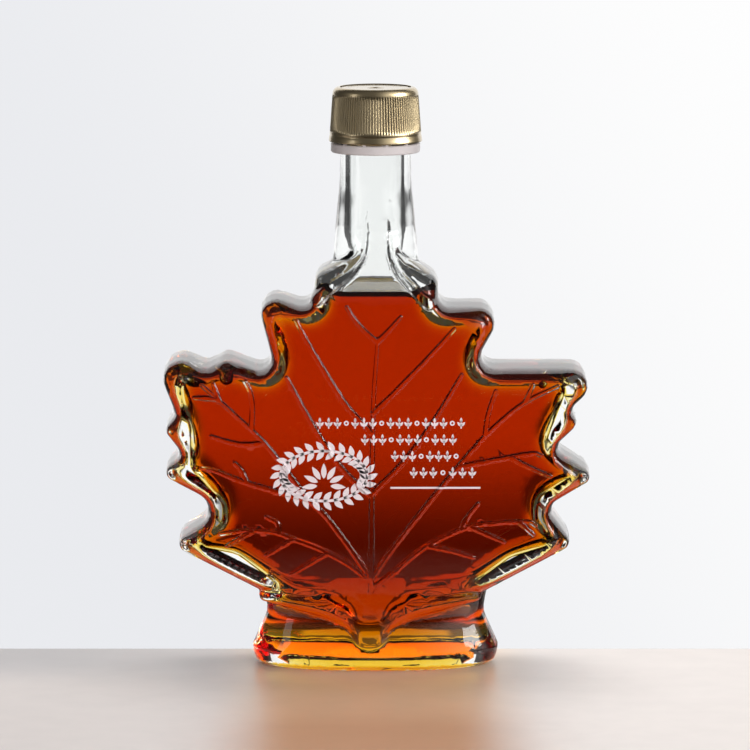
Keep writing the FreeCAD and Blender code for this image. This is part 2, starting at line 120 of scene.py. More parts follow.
# veins on the front, each a chain of (across, up) points from its root outward
vein_lines = [
    [(-1.3, 25.0), (-1.1, 55.0), (-0.5, 84.0), (0.7, 101.5)],
    [(0.6, 100.5), (-3.0, 103.5), (-6.4, 107.4), (-8.6, 111.0)],
    [(0.6, 100.5), (4.0, 104.0), (7.5, 108.0)],
    [(-1.3, 73.0), (-9.7, 82.7), (-20.6, 100.8), (-23.6, 106.8)],
    [(-1.3, 54.0), (-9.6, 61.7), (-18.0, 74.0), (-26.6, 89.8)],
    [(-1.5, 29.0), (-6.9, 37.0), (-14.7, 47.5), (-20.2, 53.0), (-27.8, 63.1), (-34.2, 70.9),
     (-44.1, 80.3), (-52.0, 87.4)],
    [(-46.9, 82.7), (-48.6, 87.8)],
    [(-37.2, 74.4), (-36.9, 81.0), (-37.6, 85.8), (-39.0, 88.6)],
    [(-34.4, 69.8), (-39.7, 69.5), (-44.5, 70.5), (-49.2, 72.0)],
    [(-47.6, 83.4), (-54.4, 83.7)],
    [(-20.4, 53.0), (-32.2, 56.0), (-41.9, 59.1), (-48.0, 61.6), (-52.0, 62.3)],
    [(-38.6, 58.0), (-40.3, 61.8), (-42.2, 63.9)],
    [(-1.5, 28.0), (-8.4, 33.4), (-17.6, 38.2), (-24.4, 40.7), (-30.0, 42.8), (-38.0, 43.5),
     (-46.6, 42.4)],
    [(-29.0, 42.6), (-29.6, 45.7), (-32.8, 47.6)],
    [(-24.8, 40.8), (-32.8, 35.9)],
    [(-14.6, 36.6), (-25.4, 30.0)],
    [(-37.2, 43.2), (-44.6, 38.8)],
    [(-1.2, 28.5), (3.9, 36.2), (10.4, 44.8), (20.4, 57.4), (29.4, 68.2), (36.0, 75.2),
     (44.6, 82.2), (54.6, 87.2)],
    [(33.0, 72.6), (33.8, 78.7), (36.0, 85.8)],
    [(45.0, 82.6), (47.2, 87.6)],
    [(25.4, 62.8), (35.7, 64.8), (46.6, 66.8), (49.6, 66.2)],
    [(40.8, 65.6), (44.6, 63.4), (52.4, 59.9)],
    [(-1.2, 25.4), (5.0, 30.2), (14.6, 38.2), (27.0, 44.2), (36.8, 45.8), (45.6, 46.1),
     (48.0, 45.0)],
    [(25.8, 43.8), (27.4, 47.2), (30.8, 51.6)],
    [(29.0, 44.4), (38.6, 40.0)],
    [(16.2, 38.8), (24.0, 37.0), (29.4, 35.2)],
    [(43.6, 45.8), (47.4, 42.2)],
    [(-1.0, 54.6), (9.3, 65.3), (18.1, 77.7), (25.8, 90.6)],
    [(-0.6, 79.0), (5.8, 85.3), (15.9, 95.9), (23.6, 104.5)],
]


def rounded_line(corners, steps=7):
    """Closed chain of points round the corners, each corner an arc of its own radius."""
    count = len(corners)
    spots = np.array([c[:2] for c in corners])
    reach = np.zeros(count)
    half = np.zeros(count)
    for i in range(count):
        back = spots[i - 1] - spots[i]
        ahead = spots[(i + 1) % count] - spots[i]
        cosine = back @ ahead / np.linalg.norm(back) / np.linalg.norm(ahead)
        half[i] = math.acos(cosine) / 2
        reach[i] = corners[i][2] / math.tan(half[i])
    for i in range(count):
        j = (i + 1) % count
        room = np.linalg.norm(spots[j] - spots[i]) * 0.97
        if reach[i] + reach[j] > room:
            if reach[i] > reach[j]:
                reach[i] = room - reach[j]
            else:
                reach[j] = room - reach[i]
    line = []
    for i in range(count):
        back = spots[i - 1] - spots[i]
        ahead = spots[(i + 1) % count] - spots[i]
        start = spots[i] + back / np.linalg.norm(back) * reach[i]
        end = spots[i] + ahead / np.linalg.norm(ahead) * reach[i]
        pull = math.sin(half[i])
        for s in np.linspace(0, 1, steps):
            a, b, c = (1 - s) ** 2, 2 * s * (1 - s) * pull, s ** 2
            line.append((start * a + spots[i] * b + end * c) / (a + b + c))
    return np.array(line)


def edge_distance(line, px, pz):
    """Distance from each point to a closed line, negative inside it."""
    nearest = np.full(px.shape, 1e9, np.float32)
    inside = np.zeros(px.shape, bool)
    for (ax, az), (bx, bz) in zip(line, np.roll(line, -1, axis=0)):
        run, rise = bx - ax, bz - az
        length = run * run + rise * rise
        if length < 1e-9:
            continue
        t = np.clip(((px - ax) * run + (pz - az) * rise) / length, 0, 1)
        gap = (px - ax - t * run) ** 2 + (pz - az - t * rise) ** 2
        np.minimum(nearest, gap, out=nearest)
        if rise != 0:
            crosses = (az > pz) != (bz > pz)
            inside ^= crosses & (px < ax + (pz - az) * run / rise)
    return np.where(inside, -1, 1) * np.sqrt(nearest)


class FrontMap:
    """Values over the front plane, looked up between their grid points."""

    left, low, width, height = -70.0, -4.0, 140.0, 182.0

    def __init__(self, step=0.3):
        self.step = step
        x = np.arange(self.left, self.left + self.width, step, dtype=np.float32)
        z = np.arange(self.low, self.low + self.height, step, dtype=np.float32)
        self.x, self.z = np.meshgrid(x, z, indexing="ij")
        self.values = np.zeros(self.x.shape, np.float32)

    def at(self, x, z):
        u = np.clip((x - self.left) / self.step, 0, self.values.shape[0] - 1.001)
        v = np.clip((z - self.low) / self.step, 0, self.values.shape[1] - 1.001)
        i, j = u.astype(np.int32), v.astype(np.int32)
        fu, fv = (u - i).astype(np.float32), (v - j).astype(np.float32)
        g = self.values
        low = g[i, j] * (1 - fu) + g[i + 1, j] * fu
        high = g[i, j + 1] * (1 - fu) + g[i + 1, j + 1] * fu
        return low * (1 - fv) + high * fv


def edge_map(corners, soften=60):
    """Map of the distance to a rounded outline, its creases evened out well inside the line."""
    made = FrontMap()
    exact = edge_distance(rounded_line(corners), made.x, made.z)
    even = exact.copy()
    for _ in range(soften):
        even[1:-1] = (even[:-2] + 2 * even[1:-1] + even[2:]) / 4
        even[:, 1:-1] = (even[:, :-2] + 2 * even[:, 1:-1] + even[:, 2:]) / 4
    share = np.clip((-exact - 0.3) / 2.2, 0, 1)
    share = share * share * (3 - 2 * share)
    made.values = (exact * (1 - share) + even * share).astype(np.float32)
    return made


def smooth_chain(points, parts=5):
    """The chain of points as one smooth curve through them all."""
    p = np.array(points, float)
    p = np.vstack([2 * p[0] - p[1], p, 2 * p[-1] - p[-2]])
    out = []
    for i in range(1, len(p) - 2):
        for s in np.arange(parts) / parts:
            out.append(0.5 * (2 * p[i] + (p[i + 1] - p[i - 1]) * s
                              + (2 * p[i - 1] - 5 * p[i] + 4 * p[i + 1] - p[i + 2]) * s ** 2
                              + (3 * p[i] - p[i - 1] - 3 * p[i + 1] + p[i + 2]) * s ** 3))
    out.append(p[-2])
    return np.array(out)


def vein_relief(lines, height, half_width, taper, steep, step):
    """Height of the ridges over the front plane: a rounded bar that narrows outward."""
    relief = FrontMap(step)
    for line in lines:
        chain = smooth_chain(line)
        last = len(chain) - 1
        for k in range(last):
            (ax, az), (bx, bz) = chain[k], chain[k + 1]
            reach = half_width + step
            i0 = int((min(ax, bx) - reach - relief.left) / step)
            i1 = int((max(ax, bx) + reach - relief.left) / step) + 2
            j0 = int((min(az, bz) - reach - relief.low) / step)
            j1 = int((max(az, bz) + reach - relief.low) / step) + 2
            x, z = relief.x[i0:i1, j0:j1], relief.z[i0:i1, j0:j1]
            run, rise = bx - ax, bz - az
            t = np.clip(((x - ax) * run + (z - az) * rise) / (run * run + rise * rise), 0, 1)
            share = 1 - taper * (k + t) / last
            gap = np.hypot(x - ax - t * run, z - az - t * rise) / half_width
            side = np.clip((share - gap) / steep, 0, 1)
            bar = height * share ** 0.5 * side * side * (3 - 2 * side)
            window = relief.values[i0:i1, j0:j1]
            np.maximum(window, bar, out=window)
    return relief


def joined(a, b, soft):
    """Union of two shapes with a fillet about as wide as soft."""
    h = np.clip(0.5 + 0.5 * (b - a) / soft, 0, 1)
    return b * (1 - h) + a * h - soft * h * (1 - h)


def slab(edge, depth, rim, inset, half_depth):
    """Slab whose front and back edges are rounded over by a quarter oval."""
    round_depth = half_depth - rim
    u = (edge + inset) / inset
    v = (depth - rim) / round_depth
    on_edge = (u > 0) & (v > 0)
    u = np.where(on_edge, u, 0.5)
    v = np.where(on_edge, v, 0.5)
    k0 = np.hypot(u, v)
    k1 = np.hypot(u / inset, v / round_depth)
    return np.where(on_edge, k0 * (k0 - 1) / k1, np.maximum(edge, depth - half_depth))


def oval(x, y, half_width, half_depth, power=2.4):
    """Distance from an oval that is a little squarer than an ellipse."""
    a = np.abs(x) / half_width + 1e-6
    b = np.abs(y) / half_depth + 1e-6
    q = (a ** power + b ** power) ** (1 / power)
    slope = np.hypot((a / q) ** (power - 1) / half_width, (b / q) ** (power - 1) / half_depth)
    return (q - 1) / slope


def eased(z, heights, values):
    """Value at height z, easing from each given height to the next with no overshoot."""
    heights = np.array(heights, float)
    values = np.array(values, float)
    grades = np.diff(values) / np.diff(heights)
    slopes = np.zeros(len(values))
    rising = grades[:-1] * grades[1:] > 0
    slopes[1:-1][rising] = 2 / (1 / grades[:-1][rising] + 1 / grades[1:][rising])
    i = np.clip(np.searchsorted(heights, z) - 1, 0, len(heights) - 2)
    step = heights[i + 1] - heights[i]
    t = np.clip((z - heights[i]) / step, 0, 1)
    start = (2 * t ** 3 - 3 * t ** 2 + 1) * values[i] + (t ** 3 - 2 * t ** 2 + t) * step * slopes[i]
    return start + (3 * t ** 2 - 2 * t ** 3) * values[i + 1] + (t ** 3 - t ** 2) * step * slopes[i + 1]


leaf_edge_map = edge_map(leaf_corners, 140)
stem_edge_map = edge_map(stem_corners, 40)
hollow_edge_map = edge_map(hollow_corners)
veins = vein_relief(vein_lines, height=vein_height, half_width=0.95, taper=0.3, steep=0.42, step=0.1)

# soft ridges that run from the shoulders up the front of the neck
arch_lines = [
    [(-18.0, 113.0), (-12.6, 117.4), (-7.0, 121.6), (-3.8, 126.0), (-2.8, 131.0), (-2.6, 136.0),
     (-2.6, 141.0)],
    [(16.0, 112.0), (11.8, 115.8), (7.6, 120.2), (5.0, 125.0), (4.2, 130.5), (4.4, 137.0),
     (4.6, 143.0)],
]
arch = vein_relief(arch_lines, height=1.0, half_width=2.2, taper=0.8, steep=0.5, step=0.2)


def shoulder_depth(z, end=11.8, fade_end=10.6):
    """Half depth of the slab, which draws in where it runs up into the neck."""
    t = np.clip((z - 112.0) / 20.0, 0, 1)
    fade = np.clip((z - 132.0) / 9.0, 0, 1)
    return leaf_half_depth + (end - leaf_half_depth) * t * t * (3 - 2 * t) + (fade_end - end) * fade


def body_shape(x, y, z):
    """The outside of the glass."""
    depth = shoulder_depth(z)
    squeeze = leaf_half_depth / depth
    ay = np.abs(y)
    edge = leaf_edge_map.at(x, z) + mould_draft * (np.sqrt(y * y + 1) - 1)
    leaf = slab(edge, ay * squeeze, leaf_rim, leaf_edge, leaf_half_depth)
    leaf = leaf / np.where(leaf > edge + 0.01, squeeze, 1.0)
    proud = eased(z, stem_heights, stem_proud)
    stem = slab(stem_edge_map.at(x, z), ay - proud, stem_rim, stem_edge, stem_half_depth)
    radius = eased(z, neck_heights, neck_radii)
    neck = np.maximum(np.maximum(np.hypot(x, y) - radius, z - lip_height), neck_root - z)
    foot = oval(x, y, eased(z, foot_heights, foot_half_widths), eased(z, foot_heights, foot_half_depths))
    foot = np.maximum(np.maximum(foot, -z), z - foot_top)
    shape = joined(leaf, neck, 1.4)
    shape = joined(shape, foot, 2.4)
    shape = joined(shape, stem, 0.9)
    shape = shape - veins.at(x, z) * (y < 0) * (ay > 14) - arch.at(x, z) * (y < 0) * (ay > 7)
    return np.maximum(shape, -front_limit - y)


def hollow_shape(x, y, z):
    """The hollow inside: bore, leaf and foot."""
    depth = shoulder_depth(z) - glass_wall
    full = leaf_half_depth - glass_wall
    squeeze = full / depth
    rim = leaf_rim - glass_wall
    edge = hollow_edge_map.at(x, z) + hollow_draft * (np.sqrt(y * y + 1) - 1)
    leaf = slab(edge, np.abs(y) * squeeze, rim - 1.0, hollow_edge, full)
    radius = eased(z, bore_heights, bore_radii)
    bore = np.maximum(np.hypot(x, y) - radius, bore_heights[0] - z)
    width = eased(z, keel_width_heights, keel_half_widths)
    deep = eased(z, keel_depth_heights, keel_half_depths)
    foot = np.maximum(np.maximum(oval(x, y, width, deep), floor_thickness - z), z - foot_top)
    shape = joined(leaf, bore, 2.5)
    return joined(shape, foot, 2.0)


def glass_shape(x, y, z):
    return np.maximum(body_shape(x, y, z), -hollow_shape(x, y, z))


def shape_slope(shape, p, h=0.3):
    """How fast the shape's distance grows along x, y and z."""
    out = np.empty_like(p)
    for k in range(3):
        ahead, back = p.copy(), p.copy()
        ahead[:, k] += h
        back[:, k] -= h
        out[:, k] = (shape(*ahead.T) - shape(*back.T)) / (2 * h)
    return out


def skin(shape, low, high, step, flat=0.0, rounds=3):
    """Triangles on the surface where the shape's distance is nought, with its true normals."""
    axes = [np.arange(a - 3 * step, b + 3 * step, step, dtype=np.float32) for a, b in zip(low, high)]
    values = np.empty([len(a) for a in axes], np.float32)
    y, z = np.meshgrid(axes[1], axes[2], indexing="ij")
    for i, x in enumerate(axes[0]):
        values[i] = shape(np.full_like(y, x), y, z)
    volume = openvdb.FloatGrid(4 * step)
    volume.copyFromArray(np.clip(values, -4 * step, 4 * step))
    points, triangles, quads = volume.convertToPolygons(0.0, flat)
    points = points * step + np.array([a[0] for a in axes])
    points = points.astype(np.float64)
    for _ in range(rounds):
        value = shape(*points.T)
        slope = shape_slope(shape, points)
        points -= slope * (value / np.maximum((slope ** 2).sum(1), 0.05))[:, None]
    slope = shape_slope(shape, points)
    normals = slope / np.linalg.norm(slope, axis=1)[:, None]
    faces = np.vstack([quads[:, [0, 1, 2]], quads[:, [0, 2, 3]], triangles]).astype(np.int64)
    a, b, c = (points[faces[:, k]] for k in range(3))
    if (a * np.cross(b, c)).sum() < 0:
        faces = faces[:, ::-1]
    return points, faces, normals


def finer(points, faces, chosen, shape):
    """The same surface with each chosen edge cut in two and its new points put on the shape."""
    mesh = bpy.data.meshes.new("cutting")
    mesh.from_pydata(points.tolist(), [], faces.tolist())
    work = bmesh.new()
    work.from_mesh(mesh)
    bpy.data.meshes.remove(mesh)
    ends = np.array([[v.co for v in e.verts] for e in work.edges])
    picked = chosen(ends)
    bmesh.ops.subdivide_edges(work, edges=[e for e, p in zip(work.edges, picked) if p], cuts=1)
    bmesh.ops.triangulate(work, faces=work.faces[:])
    points = np.array([v.co for v in work.verts])
    faces = np.array([[v.index for v in f.verts] for f in work.faces])
    work.free()
    # a cut can fold a triangle flat onto its neighbour: both go, and the surface stays closed
    _, group, count = np.unique(np.sort(faces, axis=1), axis=0, return_inverse=True, return_counts=True)
    faces = faces[count[group.ravel()] == 1]
    for _ in range(3):
        slope = shape_slope(shape, points, 0.1)
        points -= slope * (shape(*points.T) / np.maximum((slope ** 2).sum(1), 0.05))[:, None]
    slope = shape_slope(shape, points, 0.06)
    return points, faces, slope / np.linalg.norm(slope, axis=1)[:, None]


def crosses_vein(ends):
    middle = ends.mean(axis=1)
    length = np.linalg.norm(ends[:, 0] - ends[:, 1], axis=1)
    heights = [veins.at(p[:, 0], p[:, 2]) for p in (ends[:, 0], middle, ends[:, 1])]
    spread = np.max(heights, axis=0) - np.min(heights, axis=0)
    return (spread > 0.045) & (middle[:, 1] < -15) & (length > 0.235)


def glass_material(name, index, tint=(1, 1, 1), roughness=0.0, clearness=1.0):
    """Clear material: its surface bends light by the given index."""
    material = bpy.data.materials.new(name)
    material.use_nodes = True
    shader = material.node_tree.nodes["Principled BSDF"]
    shader.inputs["Base Color"].default_value = (*tint, 1)
    shader.inputs["Transmission Weight"].default_value = clearness
    shader.inputs["Roughness"].default_value = roughness
    shader.inputs["IOR"].default_value = index
    return material


def piece(name, points, faces, normals, materials, slots=None):
    """Smooth mesh object from points in millimetres, riding on the body."""
    mesh = bpy.data.meshes.new(name)
    mesh.from_pydata((points * millimetre).tolist(), [], faces.tolist())
    mesh.polygons.foreach_set("use_smooth", np.ones(len(mesh.polygons), bool))
    for material in materials:
        mesh.materials.append(material)
    if slots is not None:
        mesh.polygons.foreach_set("material_index", slots.astype(np.int32))
    if normals is not None:
        mesh.normals_split_custom_set_from_vertices(normals.astype(np.float32))
    made = bpy.data.objects.new(name, mesh)
    bpy.context.scene.collection.objects.link(made)
    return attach(made, "root")


glass_points, glass_faces, glass_normals = skin(
    glass_shape, (-68, -21, 0), (68, 21, 174), step=0.5, flat=0.06)
for _ in range(2):
    glass_points, glass_faces, glass_normals = finer(glass_points, glass_faces, crosses_vein, glass_shape)
middles = glass_points[glass_faces].mean(axis=1)
is_hollow = -hollow_shape(*middles.T) > body_shape(*middles.T)
is_wet = is_hollow & (middles[:, 2] < syrup_level + 0.4)
clear_glass = glass_material("clear_glass", glass_index, (0.97, 0.985, 0.98))
wetted_glass = glass_material("wetted_glass", glass_index / syrup_index)
bottle = piece("glass_bottle", glass_points, glass_faces, glass_normals,
               [clear_glass, wetted_glass], is_wet)
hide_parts("bottle")

# ---------------------------------------------------------------- syrup
# Clear amber-red maple syrup fills the leaf and the foot up to the root of the neck. It
# reaches just into the glass wall, and the wetted wall already bends light for both.

overlap = 0.15
meniscus_height = 0.8
meniscus_reach = 1.1
air_bubbles = [
    ((-54.6, -3.0, 88.8), (4.3, 6.0, 2.9)),
    ((-44.8, -9.0, 89.3), (2.4, 2.6, 2.4)),
    ((50.2, -9.0, 87.2), (1.5, 1.6, 1.4)),
]


def surface_height(x, y, z):
    """Height of the syrup's top, drawn up a little where it meets the glass."""
    return syrup_level + meniscus_height * np.exp(np.minimum(hollow_shape(x, y, z), 0) / meniscus_reach)


def bubble_shape(x, y, z):
    nearest = np.full(x.shape, 1e3)
    for centre, radii in air_bubbles:
        u = [(a - c) / r for a, c, r in zip((x, y, z), centre, radii)]
        k0 = np.sqrt(u[0] ** 2 + u[1] ** 2 + u[2] ** 2) + 1e-6
        k1 = np.sqrt(sum((a / r) ** 2 for a, r in zip(u, radii))) + 1e-6
        nearest = np.minimum(nearest, k0 * (k0 - 1) / k1)
    return nearest


def syrup_shape(x, y, z):
    top = z - surface_height(x, y, z) + 0.06
    return np.maximum(np.maximum(hollow_shape(x, y, z) - overlap, top), -bubble_shape(x, y, z))


syrup_points, syrup_faces, syrup_normals = skin(
    syrup_shape, (-64, -18, 2), (68, 18, 117), step=0.8, flat=0.02)
syrup_material = glass_material("maple_syrup", 1.0)
tree = syrup_material.node_tree
drink = tree.nodes.new("ShaderNodeVolumeAbsorption")
drink.inputs["Color"].default_value = (0.96, 0.82, 0.0, 1)
drink.inputs["Density"].default_value = 700.0
tree.links.new(drink.outputs["Volume"], tree.nodes["Material Output"].inputs["Volume"])
syrup = piece("syrup", syrup_points, syrup_faces, syrup_normals, [syrup_material])
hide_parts("syrup")

# ---------------------------------------------------------------- top of the syrup
# The syrup's free surface: a thin skin across the root of the neck whose top face bends and mirrors
# light. Its underside passes light straight into the syrup below. Its sides, in the narrow band where it
# meets the glass, are painted nearly black: a painted dark line of shade at the syrup's edge.


def surface_shape(x, y, z):
    top = z - surface_height(x, y, z)
    return np.maximum(np.maximum(hollow_shape(x, y, z) - overlap * 0.8, top), syrup_level - 0.8 - z)


top_points, top_faces, top_normals = skin(
    surface_shape, (-20, -18, syrup_level - 2), (20, 18, syrup_level + 1), step=0.4, flat=0.0)
top_material = glass_material("syrup_surface", 1.15, (0.33, 0.25, 0.10), clearness=0.2)
through_material = glass_material("syrup_underside", 1.0)
# painted shade: the band where the syrup's top meets the glass is painted nearly black
dark_edge_shade = glass_material("syrup_edge_painted_shade", 1.05, (0.012, 0.004, 0.002), 0.5, clearness=0.3)
top_middles = top_points[top_faces].mean(axis=1)
below = surface_height(*top_middles.T) - top_middles[:, 2]
top_slots = np.where(below < 0.1, 0, np.where(top_middles[:, 2] < syrup_level - 0.6, 1, 2))
top = piece("syrup_top", top_points, top_faces, top_normals,
            [top_material, through_material, dark_edge_shade], top_slots)

# ---------------------------------------------------------------- air bubbles
# Air caught in the tips of the leaf when it was filled. Each is a thin film of syrup round
# a pocket of air: light passes its outside unbent and bends at its inside.

bubble_points = []
bubble_faces = []
bubble_normals = []
bubble_slots = []
for centre, radii in air_bubbles:
    rings, spokes = 18, 28
    for layer, grow in ((1, 0.08), (0, 0.0)):
        first = len(bubble_points)
        for i in range(rings + 1):
            for j in range(spokes):
                up, turn = math.pi * i / rings, 2 * math.pi * j / spokes
                out = math.sin(up)
                way = np.array([out * math.cos(turn), out * math.sin(turn), math.cos(up)])
                bubble_points.append(np.array(centre) + way * (np.array(radii) + grow))
                out = way / np.array(radii)
                bubble_normals.append(out / np.linalg.norm(out) * (1 if layer else -1))
        for i in range(rings):
            for j in range(spokes):
                a, b = first + i * spokes + j, first + i * spokes + (j + 1) % spokes
                c, d = b + spokes, a + spokes
                ring = [(a, d, c), (a, c, b)] if layer else [(a, c, d), (a, b, c)]
                bubble_faces += ring
                bubble_slots += [layer, layer]
bubble_material = glass_material("bubble_wall", syrup_index)
bubbles = piece("air_bubbles", np.array(bubble_points), np.array(bubble_faces), np.array(bubble_normals),
                [bubble_material, through_material], np.array(bubble_slots))

# ---------------------------------------------------------------- etched ornament
# A plain wreath of leaves and rows of small sprigs and dots, sand-etched into the front of
# the glass: a pale frosted layer a tenth of a millimetre thick that follows the veins under it.

etch_lift = 0.03
etch_thickness = 0.1


def mark(line, half_widths, parts=4):
    """Thin closed strip on the front of the glass along a line, as wide as told at each point."""
    line = np.array(line, float)
    along = np.gradient(line, axis=0)
    along /= np.linalg.norm(along, axis=1)[:, None] + 1e-9
    across = np.stack([-along[:, 1], along[:, 0]], axis=1)
    spread = np.linspace(-1, 1, parts + 1)
    spots = line[:, None] + across[:, None] * np.array(half_widths)[:, None, None] * spread[:, None]
    x, z = spots[..., 0], spots[..., 1]
    front = -leaf_half_depth - veins.at(x, z) - etch_lift
    points = [np.stack([x, y, z], axis=-1) for y in (front, front + etch_thickness)]
    rows, columns = x.shape
    number = np.arange(rows * columns).reshape(rows, columns)
    back = number + rows * columns
    faces = []
    for i in range(rows - 1):
        for j in range(columns - 1):
            faces.append((number[i, j], number[i, j + 1], number[i + 1, j + 1], number[i + 1, j]))
            faces.append((back[i, j], back[i + 1, j], back[i + 1, j + 1], back[i, j + 1]))
        faces.append((number[i, 0], number[i + 1, 0], back[i + 1, 0], back[i, 0]))
        faces.append((number[i, -1], back[i, -1], back[i + 1, -1], number[i + 1, -1]))
    for j in range(columns - 1):
        faces.append((number[0, j], back[0, j], back[0, j + 1], number[0, j + 1]))
        faces.append((number[-1, j], number[-1, j + 1], back[-1, j + 1], back[-1, j]))
    return np.vstack([p.reshape(-1, 3) for p in points]), faces


def leaf_mark(x, z, angle, length, half_width):
    """Pointed oval starting at (x, z) and running out at the given angle."""
    share = np.linspace(0, 1, 12)
    way = np.array([math.cos(angle), math.sin(angle)])
    line = np.array([x, z]) + share[:, None] * length * way
    return mark(line, half_width * (np.sin(math.pi * share ** 0.85) ** 0.9) + 0.02)


def colour_between(tree, share, first, second):
    """Colour between two others, each a plain colour or another node's output."""
    made = tree.nodes.new("ShaderNodeMix")
    made.data_type = "RGBA"
    tree.links.new(share, made.inputs["Factor"])
    for socket, colour in (("A", first), ("B", second)):
        if isinstance(colour, tuple):
            made.inputs[socket].default_value = (*colour, 1)
        else:
            tree.links.new(colour, made.inputs[socket])
    return made.outputs["Result"]


def mottled(name, scale, dark, pale):
    """Material whose colour drifts between two shades; gives back its shader and nodes too."""
    material = bpy.data.materials.new(name)
    material.use_nodes = True
    tree = material.node_tree
    shader = tree.nodes["Principled BSDF"]
    cloud = tree.nodes.new("ShaderNodeTexNoise")
    cloud.inputs["Scale"].default_value = scale
    shades = colour_between(tree, cloud.outputs["Fac"], dark, pale)
    tree.links.new(shades, shader.inputs["Base Color"])
    return material, shader, tree


wreath_x, wreath_z = -15.5, 60.0
wreath_half_width = 13.0
wreath_half_height = 7.6
wreath_leaves = 26
fan_leaves = 7
sprig_gap = 2.6
sprig_rows = ((76.0, -18.0, 27.0), (71.0, -4.5, 24.5), (66.0, 4.5, 25.5), (61.0, 10.0, 30.5))
rule_height = 56.4

ring = np.linspace(0, 2 * math.pi, 90)
wreath = np.stack([wreath_x + wreath_half_width * np.cos(ring),
                   wreath_z + wreath_half_height * np.sin(ring)], axis=1)
marks = [mark(wreath, np.full(90, 0.4))]
for i in range(wreath_leaves):
    turn = 2 * math.pi * (i + 0.5) / wreath_leaves
    x = wreath_x + wreath_half_width * math.cos(turn)
    z = wreath_z + wreath_half_height * math.sin(turn)
    heading = math.atan2(wreath_half_height * math.cos(turn), -wreath_half_width * math.sin(turn))
    marks.append(leaf_mark(x, z, heading + 0.9, 3.6, 0.85))
    marks.append(leaf_mark(x, z, heading - 0.9, 3.6, 0.85))
for k in range(fan_leaves):
    turn = math.radians(90 + (k - 3) * 32)
    root = wreath_x + 2.0 * math.cos(turn), wreath_z - 2.8 + 2.0 * math.sin(turn)
    marks.append(leaf_mark(*root, turn, 4.6, 0.8))
for height, start, end in sprig_rows:
    count = int((end - start) / sprig_gap)
    for i in range(count):
        x = start + (end - start) * (i + 0.5) / count
        if i % 4 == 3:
            turn = np.linspace(0, 2 * math.pi, 14)
            dot = np.stack([x + 0.55 * np.cos(turn), height + 0.55 * np.sin(turn)], axis=1)
            marks.append(mark(dot, np.full(14, 0.22), 2))
        else:
            marks.append(mark([(x, height - 1.6), (x, height), (x, height + 0.9)], [0.2, 0.2, 0.16], 2))
            for side in (-1, 1):
                marks.append(leaf_mark(x, height - 0.9, math.pi / 2 - side * 0.75, 1.7, 0.38))
            marks.append(leaf_mark(x, height + 0.2, math.pi / 2, 1.5, 0.36))
rule = np.linspace(4.5, 31.5, 60)
marks.append(mark(np.stack([rule, np.full(60, rule_height)], axis=1), np.full(60, 0.28), 2))
etch_points = []
etch_faces = []
first = 0
for points, faces in marks:
    etch_points.append(points)
    etch_faces += [tuple(first + k for k in face) for face in faces]
    first += len(points)
frosted, shader, tree = mottled("etched_frost", 2500, (0.93, 0.81, 0.85), (1.0, 0.91, 0.95))
shader.inputs["Roughness"].default_value = 0.75
etch_mesh = bpy.data.meshes.new("etched_ornament")
etch_mesh.from_pydata((np.vstack(etch_points) * millimetre).tolist(), [], etch_faces)
etch_mesh.materials.append(frosted)
etched = bpy.data.objects.new("etched_ornament", etch_mesh)
bpy.context.scene.collection.objects.link(etched)
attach(etched, "root")

# ---------------------------------------------------------------- screw cap
# Rolled aluminium cap with a gold lacquer, screwed down on the neck's finish. Fine upright ribs for grip
# run round it above a smooth flared band, and its sunk top has a small pit. The pit and the narrow groove
# round the sunk top are painted near-black as painted shade.

cap_low, cap_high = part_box("cap")
cap_bottom = cap_low.z / millimetre
cap_top = cap_high.z / millimetre
cap_radius = cap_high.x / millimetre
rib_count = 100
steps_per_rib = 8
rib_depth = 0.22
shoulder_round = 2.1
shoulder_radius = cap_radius - 1.15
face_radius = 11.05
face_sink = 0.32
pit_radius = 0.5
pit_depth = 1.0
smooth_band = 2.9

# outside and inside of the cap from the middle of its top: radius, height, share of rib depth
face = cap_top - face_sink
cap_profile = [
    (0.4, cap_top - pit_depth, 0), (pit_radius, face, 0), (3, face, 0), (6, face, 0), (9, face, 0),
    (face_radius - 0.45, face, 0), (face_radius - 0.4, face + 0.02, 0),
    (face_radius - 0.35, cap_top - 0.03, 0), (face_radius - 0.25, cap_top, 0), (face_radius, cap_top, 0),
]
for turn in np.linspace(10, 90, 8):
    out = math.sin(math.radians(turn))
    down = 1 - math.cos(math.radians(turn))
    radius = face_radius + (shoulder_radius - face_radius) * out
    cap_profile.append((radius, cap_top - shoulder_round * down, 0))
rib_length = cap_top - shoulder_round - cap_bottom - smooth_band
for share, depth in ((0.02, 0.2), (0.06, 0.8), (0.1, 1), (0.35, 1), (0.65, 1), (0.9, 1), (0.955, 0.7),
                     (0.99, 0.1)):
    height = cap_top - shoulder_round - share * rib_length
    cap_profile.append((shoulder_radius + 0.8 * share, height, depth))
cap_profile += [
    (cap_radius - 0.32, cap_bottom + 2.75, 0), (cap_radius - 0.30, cap_bottom + 2.2, 0),
    (cap_radius - 0.42, cap_bottom + 2.0, 0), (cap_radius - 0.22, cap_bottom + 1.8, 0),
    (cap_radius - 0.06, cap_bottom + 0.5, 0), (cap_radius, cap_bottom + 0.25, 0),
    (cap_radius - 0.12, cap_bottom + 0.03, 0), (cap_radius - 0.4, cap_bottom, 0),
    (12.6, cap_bottom, 0), (12.4, cap_bottom + 0.4, 0), (12.4, cap_top - 3, 0), (0.5, cap_top - 2.0, 0),
]
spokes = rib_count * steps_per_rib
around = 2 * math.pi * np.arange(spokes) / spokes
groove = (0.5 - 0.5 * np.cos(rib_count * around)) ** 1.4
cap_points = [[(0, 0, cap_top - pit_depth)]]
for radius, height, share in cap_profile:
    r = radius - rib_depth * share * groove
    cap_points.append(np.stack([r * np.cos(around), r * np.sin(around), np.full(spokes, height)], axis=1))
cap_points.append([(0, 0, cap_top - 2.0)])
cap_points = np.vstack(cap_points)
cap_faces = []
rings = len(cap_profile)
last_point = len(cap_points) - 1
